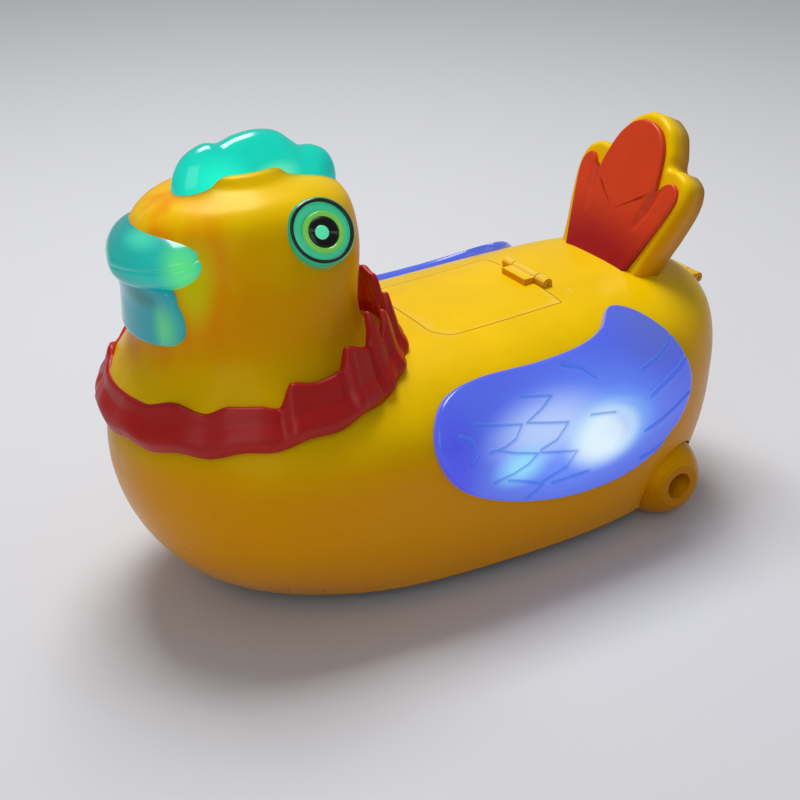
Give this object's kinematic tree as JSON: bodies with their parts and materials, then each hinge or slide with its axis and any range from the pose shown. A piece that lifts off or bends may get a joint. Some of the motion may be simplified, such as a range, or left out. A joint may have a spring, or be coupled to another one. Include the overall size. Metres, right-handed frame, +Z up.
{
  "type": "rolling light-up toy hen",
  "caption": "Battery-driven plastic hen on wheels, with lit wings, hinged back hatch, rear egg flap and steering drive turret.",
  "frame": {"origin": "on the floor, under the middle of the toy", "axes": "+X forward, towards the beak; +Y to the hen's left; +Z up"},
  "size_m": [0.242, 0.1231, 0.1628],
  "materials": {
    "yellow_shell": "glossy moulded ABS, warm yellow",
    "yellow_wheel": "glossy moulded plastic, yellow",
    "red_plastic": "glossy moulded plastic, deep red",
    "teal_clear": "translucent turquoise, lit from inside",
    "green_clear": "translucent green lens",
    "blue_clear": "translucent blue lens, lit from inside",
    "black_plastic": "black plastic",
    "white_plastic": "white moulded plastic",
    "grey_plastic": "dark grey moulded plastic, fine grain",
    "lamp_board": "white circuit board with a clear diode",
    "circuit_board": "green solder mask",
    "steel": "plain steel",
    "brass": "brass",
    "battery_jacket": "printed sleeve, plain",
    "black_rubber": "rubber tyre"
  },
  "bodies": {
    "casing": {"axle_caps": "steel", "base_plate": "grey_plastic", "base_screws": "steel", "batteries": "battery_jacket", "battery_contacts": "steel", "battery_cover": "grey_plastic", "battery_springs": "steel", "beak": "teal_clear", "board_parts": "black_plastic", "board_screws": "steel", "body_shell": "yellow_shell", "collar": "red_plastic", "comb": "teal_clear", "control_board": "circuit_board", "cover_screw": "steel", "egg_chute": "white_plastic", "eye_left": "green_clear", "eye_right": "green_clear", "flap_pin": "steel", "gate_motor": "black_plastic", "hatch_pin": "steel", "head_lamp": "lamp_board", "head_shell_left": "yellow_shell", "head_shell_right": "yellow_shell", "pupil_left": "black_plastic", "pupil_right": "black_plastic", "rear_axle": "steel", "reflector_left": "white_plastic", "reflector_right": "white_plastic", "speaker": "black_plastic", "switch_body": "black_plastic", "tail_fan": "yellow_shell", "tail_feathers": "red_plastic", "turret_keeper": "grey_plastic", "wattle": "teal_clear", "wing_lamp_left": "lamp_board", "wing_lamp_right": "lamp_board", "wing_left": "blue_clear", "wing_right": "blue_clear", "wiper_contacts": "brass"},
    "hatch": {"back_hatch": "yellow_shell"},
    "flap": {"egg_flap": "yellow_shell"},
    "gate": {"egg_gate": "white_plastic"},
    "wheel_left": {"rear_wheel_left": "yellow_wheel"},
    "wheel_right": {"rear_wheel_right": "yellow_wheel"},
    "turret": {"turret_housing": "grey_plastic", "turret_lid": "grey_plastic", "slip_rings": "brass", "drive_motor": "steel", "idler_pin": "steel"},
    "drive": {"drive_axle": "steel", "axle_gear": "white_plastic", "drive_wheel_left": "white_plastic", "drive_wheel_right": "white_plastic", "drive_tyre_left": "black_rubber", "drive_tyre_right": "black_rubber"},
    "idler": {"idler_gear": "white_plastic"},
    "rotor": {"motor_shaft": "steel", "motor_pinion": "brass"},
    "switch": {"power_switch": "black_plastic"}
  },
  "joints": [
    {"name": "hatch_hinge", "type": "hinge", "parent": "casing", "child": "hatch", "pos_m": [-0.0462, 0, 0.0909], "axis": [0, -1, 0], "range_deg": [0, 100]},
    {"name": "flap_hinge", "type": "hinge", "parent": "casing", "child": "flap", "pos_m": [-0.1199, 0, 0.0772], "axis": [0, 1, 0], "range_deg": [0, 70]},
    {"name": "gate_turn", "type": "hinge", "parent": "casing", "child": "gate", "pos_m": [-0.074, 0.018, 0.066], "axis": [0, 1, 0], "range_deg": [0, 80]},
    {"name": "wheel_left_spin", "type": "hinge", "parent": "casing", "child": "wheel_left", "pos_m": [-0.081, 0.042, 0.016], "axis": [0, 1, 0], "continuous": true},
    {"name": "wheel_right_spin", "type": "hinge", "parent": "casing", "child": "wheel_right", "pos_m": [-0.081, -0.042, 0.016], "axis": [0, 1, 0], "continuous": true},
    {"name": "turret_swivel", "type": "hinge", "parent": "casing", "child": "turret", "pos_m": [0.04, 0, 0.012], "axis": [0, 0, 1], "continuous": true},
    {"name": "drive_spin", "type": "hinge", "parent": "turret", "child": "drive", "pos_m": [0.034, 0, 0.012], "axis": [0, 1, 0], "continuous": true},
    {"name": "idler_spin", "type": "hinge", "parent": "turret", "child": "idler", "pos_m": [0.04079, 0.008, 0.01879], "axis": [0, 1, 0], "continuous": true},
    {"name": "motor_spin", "type": "hinge", "parent": "turret", "child": "rotor", "pos_m": [0.05142, 0.008, 0.01691], "axis": [0, 1, 0], "continuous": true},
    {"name": "switch_slide", "type": "slide", "parent": "casing", "child": "switch", "axis": [1, 0, 0], "range_m": [0, 0.0046]}
  ],
  "couplings": [
    {"joint": "idler_spin", "follows": "drive_spin", "ratio": -1.6667},
    {"joint": "motor_spin", "follows": "drive_spin", "ratio": 3.3333}
  ]
}
